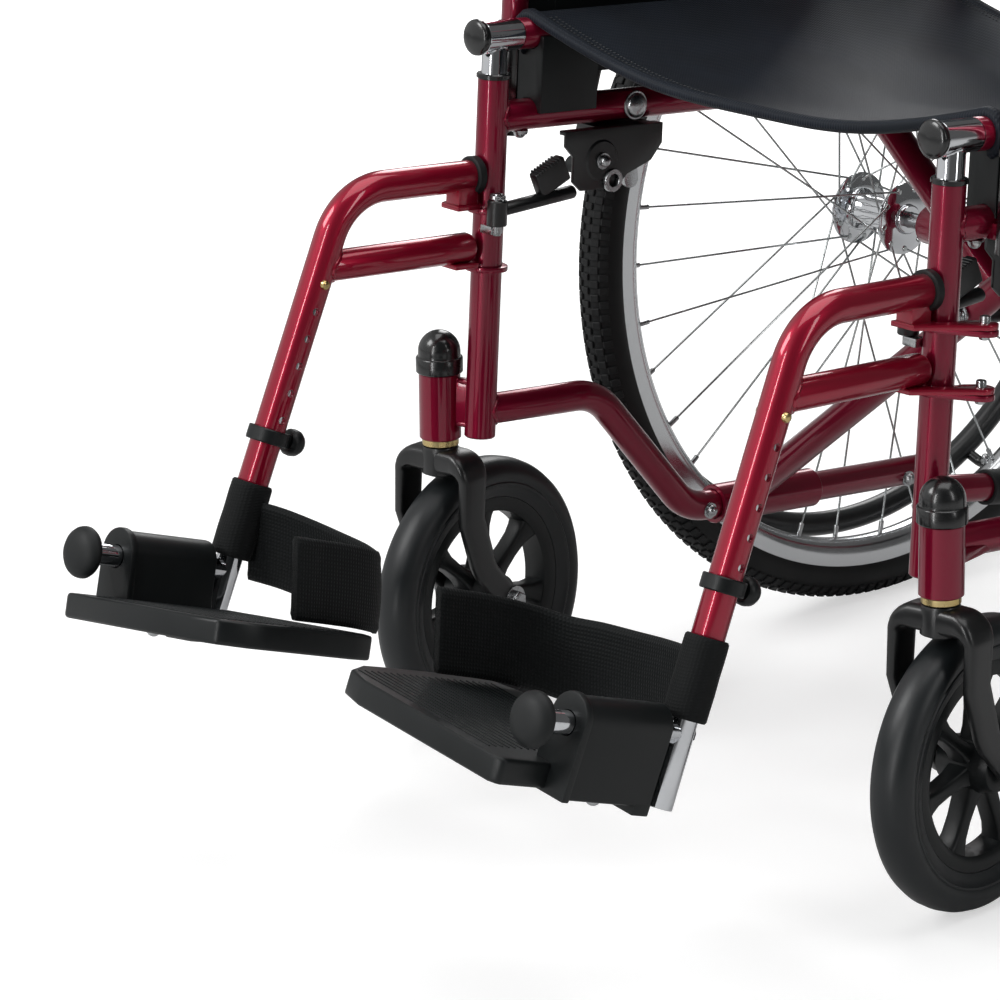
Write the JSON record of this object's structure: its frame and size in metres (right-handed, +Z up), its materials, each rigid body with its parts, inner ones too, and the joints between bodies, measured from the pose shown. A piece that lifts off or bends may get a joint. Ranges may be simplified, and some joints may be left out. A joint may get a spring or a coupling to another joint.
{
  "type": "folding wheelchair",
  "caption": "Folding self-propelled wheelchair with spoked rear wheels, swivelling castors, swing-away adjustable footrests, lift-off armrests and a fabric seat and back.",
  "frame": {"origin": "on the floor, at the middle of the bounding box", "axes": "+X is the occupant's left, -Y is forward, +Z is up"},
  "size_m": [0.682, 1.1402, 0.9295],
  "materials": {
    "frame_paint": "gloss metallic",
    "black_paint": "satin powder coat",
    "chrome": "polished",
    "wheel_metal": "satin",
    "zinc": "zinc plated",
    "rubber": "matte",
    "tyre": "matte",
    "black_plastic": "satin moulded",
    "vinyl": "grained vinyl",
    "nylon": "coarse woven nylon"
  },
  "bodies": {
    "right_frame": {"side_frame_right": "frame_paint", "seat_cradle_right": "black_plastic", "caster_cap_right": "black_plastic", "push_grip_right": "rubber", "tipping_tip_right": "rubber", "lock_bracket_right": "black_paint", "back_upholstery": "nylon"},
    "left_frame": {"side_frame_left": "frame_paint", "seat_cradle_left": "black_plastic", "caster_cap_left": "black_plastic", "push_grip_left": "rubber", "tipping_tip_left": "rubber", "lock_bracket_left": "black_paint"},
    "brace_a": {"brace_front": "frame_paint", "brace_bolt": "zinc", "seat_rail_left": "frame_paint", "seat_upholstery": "nylon"},
    "brace_b": {"brace_rear": "frame_paint", "seat_rail_right": "frame_paint"},
    "guide_right": {"seat_guide_right": "chrome", "guide_plug_right": "black_plastic"},
    "hanger_right": {"hanger_right": "frame_paint", "hanger_collar_right": "black_plastic"},
    "footrest_right": {"footrest_tube_right": "chrome", "footrest_bumper_right": "rubber", "heel_loop_right": "nylon"},
    "footplate_right": {"footplate_right": "black_plastic"},
    "release_right": {"release_lever_right": "black_paint"},
    "lock_lever_right": {"lock_lever_right": "black_paint"},
    "lock_shoe_right": {"lock_shoe_right": "zinc"},
    "armrest_right": {"armrest_frame_right": "frame_paint", "arm_pad_right": "vinyl", "side_panel_right": "black_plastic"},
    "wheel_right": {"rear_tyre_right": "tyre", "rear_wheel_right": "wheel_metal", "handrim_right": "black_paint"},
    "caster_yoke_right": {"caster_fork_right": "black_paint"},
    "caster_wheel_right": {"caster_tyre_right": "tyre", "caster_wheel_right": "black_plastic"},
    "guide_left": {"seat_guide_left": "chrome", "guide_plug_left": "black_plastic"},
    "hanger_left": {"hanger_left": "frame_paint", "hanger_collar_left": "black_plastic"},
    "footrest_left": {"footrest_tube_left": "chrome", "footrest_bumper_left": "rubber", "heel_loop_left": "nylon"},
    "footplate_left": {"footplate_left": "black_plastic"},
    "release_left": {"release_lever_left": "black_paint"},
    "lock_lever_left": {"lock_lever_left": "black_paint"},
    "lock_shoe_left": {"lock_shoe_left": "zinc"},
    "armrest_left": {"armrest_frame_left": "frame_paint", "arm_pad_left": "vinyl", "side_panel_left": "black_plastic"},
    "wheel_left": {"rear_tyre_left": "tyre", "rear_wheel_left": "wheel_metal", "handrim_left": "black_paint"},
    "caster_yoke_left": {"caster_fork_left": "black_paint"},
    "caster_wheel_left": {"caster_tyre_left": "tyre", "caster_wheel_left": "black_plastic"}
  },
  "joints": [
    {"name": "fold", "type": "hinge", "parent": "right_frame", "child": "brace_a", "pos_m": [-0.2256, 0.04997, 0.1319], "axis": [0, -0.9979, 0.0651], "range_deg": [0, 40.8], "deforming": ["seat_upholstery", "back_upholstery"]},
    {"name": "brace_cross", "type": "hinge", "parent": "brace_a", "child": "brace_b", "pos_m": [0, 0.08389, 0.31408], "axis": [0, -0.9979, 0.0651], "range_deg": [-81.6, 0]},
    {"name": "fold_left", "type": "hinge", "parent": "brace_b", "child": "left_frame", "pos_m": [0.2256, 0.09387, 0.12904], "axis": [0, -0.9979, 0.0651], "range_deg": [0, 40.8]},
    {"name": "guide_turn_left", "type": "hinge", "parent": "brace_a", "child": "guide_left", "pos_m": [0.2256, -0.18355, 0.5159], "axis": [0, -0.9979, 0.0651], "range_deg": [-40.8, 0]},
    {"name": "guide_turn_right", "type": "hinge", "parent": "brace_b", "child": "guide_right", "pos_m": [-0.2256, -0.18355, 0.5159], "axis": [0, -0.9979, 0.0651], "range_deg": [0, 40.8]},
    {"name": "hanger_swing_right", "type": "hinge", "parent": "right_frame", "child": "hanger_right", "pos_m": [-0.253, -0.17983, 0.38839], "axis": [0, -0.0651, -0.9979], "range_deg": [0, 95]},
    {"name": "footrest_height_right", "type": "slide", "parent": "hanger_right", "child": "footrest_right", "axis": [-0.0128, -0.3926, -0.9196], "range_m": [0, 0.088]},
    {"name": "footplate_flip_right", "type": "hinge", "parent": "footrest_right", "child": "footplate_right", "pos_m": [-0.234, -0.5447, 0.21015], "axis": [0, -0.9562, 0.2929], "range_deg": [0, 90], "deforming": ["heel_loop_right"]},
    {"name": "hanger_release_right", "type": "hinge", "parent": "right_frame", "child": "release_right", "pos_m": [-0.2056, -0.20033, 0.39675], "axis": [0, -0.0651, -0.9979], "range_deg": [0, 18], "stiffness_Nm_per_rad": 0.3},
    {"name": "wheel_lock_right", "type": "hinge", "parent": "right_frame", "child": "lock_lever_right", "pos_m": [-0.255, -0.06979, 0.41629], "axis": [1, 0, 0], "range_deg": [0, 40]},
    {"name": "lock_shoe_right", "type": "hinge", "parent": "right_frame", "child": "lock_shoe_right", "pos_m": [-0.243, -0.0482, 0.43994], "axis": [1, 0, 0], "range_deg": [0, 10]},
    {"name": "armrest_lift_right", "type": "slide", "parent": "right_frame", "child": "armrest_right", "axis": [0, 0.0651, 0.9979], "range_m": [0, 0.09]},
    {"name": "wheel_spin_right", "type": "hinge", "parent": "right_frame", "child": "wheel_right", "pos_m": [-0.298, 0.26508, 0.305], "axis": [1, 0, 0], "continuous": true},
    {"name": "caster_swivel_right", "type": "hinge", "parent": "right_frame", "child": "caster_yoke_right", "pos_m": [-0.2535, -0.21568, 0.25], "axis": [0, 0, 1], "continuous": true},
    {"name": "caster_spin_right", "type": "hinge", "parent": "caster_yoke_right", "child": "caster_wheel_right", "pos_m": [-0.25893, -0.17706, 0.1], "axis": [0.9903, 0.1392, 0], "continuous": true},
    {"name": "hanger_swing_left", "type": "hinge", "parent": "left_frame", "child": "hanger_left", "pos_m": [0.253, -0.17983, 0.38839], "axis": [0, 0.0651, 0.9979], "range_deg": [0, 95]},
    {"name": "footrest_height_left", "type": "slide", "parent": "hanger_left", "child": "footrest_left", "axis": [0.0128, -0.3926, -0.9196], "range_m": [0, 0.088]},
    {"name": "footplate_flip_left", "type": "hinge", "parent": "footrest_left", "child": "footplate_left", "pos_m": [0.234, -0.5447, 0.21015], "axis": [0, 0.9562, -0.2929], "range_deg": [0, 90], "deforming": ["heel_loop_left"]},
    {"name": "hanger_release_left", "type": "hinge", "parent": "left_frame", "child": "release_left", "pos_m": [0.2056, -0.20033, 0.39675], "axis": [0, 0.0651, 0.9979], "range_deg": [0, 18], "stiffness_Nm_per_rad": 0.3},
    {"name": "wheel_lock_left", "type": "hinge", "parent": "left_frame", "child": "lock_lever_left", "pos_m": [0.255, -0.06979, 0.41629], "axis": [1, 0, 0], "range_deg": [0, 40]},
    {"name": "lock_shoe_left", "type": "hinge", "parent": "left_frame", "child": "lock_shoe_left", "pos_m": [0.243, -0.0482, 0.43994], "axis": [1, 0, 0], "range_deg": [0, 10]},
    {"name": "armrest_lift_left", "type": "slide", "parent": "left_frame", "child": "armrest_left", "axis": [0, 0.0651, 0.9979], "range_m": [0, 0.09]},
    {"name": "wheel_spin_left", "type": "hinge", "parent": "left_frame", "child": "wheel_left", "pos_m": [0.298, 0.26508, 0.305], "axis": [1, 0, 0], "continuous": true},
    {"name": "caster_swivel_left", "type": "hinge", "parent": "left_frame", "child": "caster_yoke_left", "pos_m": [0.2535, -0.21568, 0.25], "axis": [0, 0, 1], "continuous": true},
    {"name": "caster_spin_left", "type": "hinge", "parent": "caster_yoke_left", "child": "caster_wheel_left", "pos_m": [0.24807, -0.17706, 0.1], "axis": [0.9903, 0.1392, 0], "continuous": true}
  ],
  "couplings": [
    {"joint": "brace_cross", "follows": "fold", "ratio": -2},
    {"joint": "fold_left", "follows": "fold", "ratio": 1},
    {"joint": "guide_turn_left", "follows": "fold", "ratio": -1},
    {"joint": "guide_turn_right", "follows": "fold", "ratio": 1},
    {"joint": "footplate_flip_right", "follows": "fold", "ratio": 2.2059},
    {"joint": "lock_shoe_right", "follows": "wheel_lock_right", "ratio": 0.25},
    {"joint": "footplate_flip_left", "follows": "fold", "ratio": 2.2059},
    {"joint": "lock_shoe_left", "follows": "wheel_lock_left", "ratio": 0.25}
  ]
}
